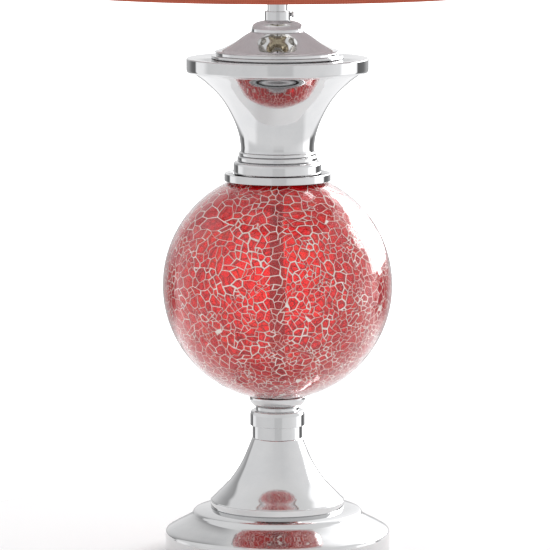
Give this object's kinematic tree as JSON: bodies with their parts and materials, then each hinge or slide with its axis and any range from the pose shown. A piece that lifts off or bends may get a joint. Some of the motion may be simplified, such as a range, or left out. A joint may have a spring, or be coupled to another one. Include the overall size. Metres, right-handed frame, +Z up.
{
  "type": "table lamp",
  "caption": "Table lamp with a chromed turned base and stem, a red glass mosaic globe, and a fabric drum shade held on a harp and finial.",
  "frame": {"origin": "centre of the underside, on the surface the lamp stands on", "axes": "+Z up along the rod; -Y towards the front, where the switch knob points; +X to the right"},
  "size_m": [0.406, 0.406, 0.757],
  "materials": {
    "felt": "matt wool felt",
    "fibreboard": "pressed board",
    "zinc": "zinc plated",
    "cast_iron": "rough casting",
    "chrome": "mirror polished",
    "rubber": "matt",
    "mosaic": "glossy crackle glass pieces in pale grout",
    "clear_glass": "clear blown glass",
    "frosted_glass": "frosted",
    "nickel": "satin nickel plate",
    "brass": "satin",
    "phenolic": "moulded",
    "fabric": "plain-weave linen-look cloth",
    "styrene": "satin white sheet"
  },
  "bodies": {
    "lamp": {"felt_pad": "felt", "base_cover": "fibreboard", "socket_liner": "fibreboard", "foot_nut": "zinc", "foot_washer": "zinc", "threaded_rod": "zinc", "base_weight": "cast_iron", "base_shell": "chrome", "base_ring": "chrome", "bell": "chrome", "neck_collar_lower": "chrome", "neck_collar_upper": "chrome", "neck_ring": "chrome", "globe_cup": "chrome", "globe_cap_ring": "chrome", "globe_cap": "chrome", "bead_ring_lower": "chrome", "bead_ring_upper": "chrome", "trumpet": "chrome", "top_disc": "chrome", "step_ring_lower": "chrome", "step_ring_upper": "chrome", "dome": "chrome", "dome_cap": "chrome", "stem_collar": "chrome", "set_screw": "chrome", "stem_tube": "chrome", "cord_bush": "rubber", "globe_gasket_lower": "rubber", "globe_gasket_upper": "rubber", "mosaic_skin": "mosaic", "glass_globe": "clear_glass", "spacer_tube": "nickel", "harp_saddle": "nickel", "rod_nut": "brass", "socket_cap": "brass", "socket_shell": "brass", "screw_shell": "brass", "centre_contact": "brass", "socket_body": "phenolic"},
    "harp": {"harp": "nickel", "harp_stud": "nickel"},
    "ferrule_left": {"ferrule_left": "nickel"},
    "ferrule_right": {"ferrule_right": "nickel"},
    "shade": {"shade_fabric": "fabric", "shade_liner": "styrene", "trim_bottom": "fabric", "trim_top": "fabric", "shade_bottom_ring": "nickel", "shade_top_ring": "nickel", "spider_hub": "nickel", "spider_arm_1": "nickel", "spider_arm_2": "nickel", "spider_arm_3": "nickel"},
    "finial_washer": {"finial_washer": "nickel"},
    "finial": {"finial": "nickel"},
    "bulb": {"bulb_glass": "frosted_glass", "bulb_cap": "zinc", "bulb_contact": "brass"},
    "switch": {"switch_knob": "phenolic"}
  },
  "joints": [
    {"name": "switch_turn", "type": "hinge", "parent": "lamp", "child": "switch", "pos_m": [0, -0.033, 0.522], "axis": [0, -1, 0], "continuous": true},
    {"name": "bulb_out", "type": "slide", "parent": "lamp", "child": "bulb", "axis": [0, 0, 1], "range_m": [0, 0.03]},
    {"name": "harp_lift", "type": "slide", "parent": "lamp", "child": "harp", "axis": [0, 0, 1], "range_m": [0, 0.02]},
    {"name": "ferrule_left_slide", "type": "slide", "parent": "harp", "child": "ferrule_left", "axis": [0, 0, 1], "range_m": [0, 0.014]},
    {"name": "ferrule_right_slide", "type": "slide", "parent": "harp", "child": "ferrule_right", "axis": [0, 0, 1], "range_m": [0, 0.014]},
    {"name": "shade_lift", "type": "slide", "parent": "harp", "child": "shade", "axis": [0, 0, 1], "range_m": [0, 0.05]},
    {"name": "finial_rise", "type": "slide", "parent": "shade", "child": "finial_washer", "axis": [0, 0, 1], "range_m": [0, 0.0112]},
    {"name": "finial_turn", "type": "hinge", "parent": "finial_washer", "child": "finial", "pos_m": [0, 0, 0.74], "axis": [0, 0, 1], "range_deg": [0, 4320]}
  ],
  "couplings": [
    {"joint": "finial_turn", "follows": "finial_rise", "rad_per_m": 6684.2}
  ]
}
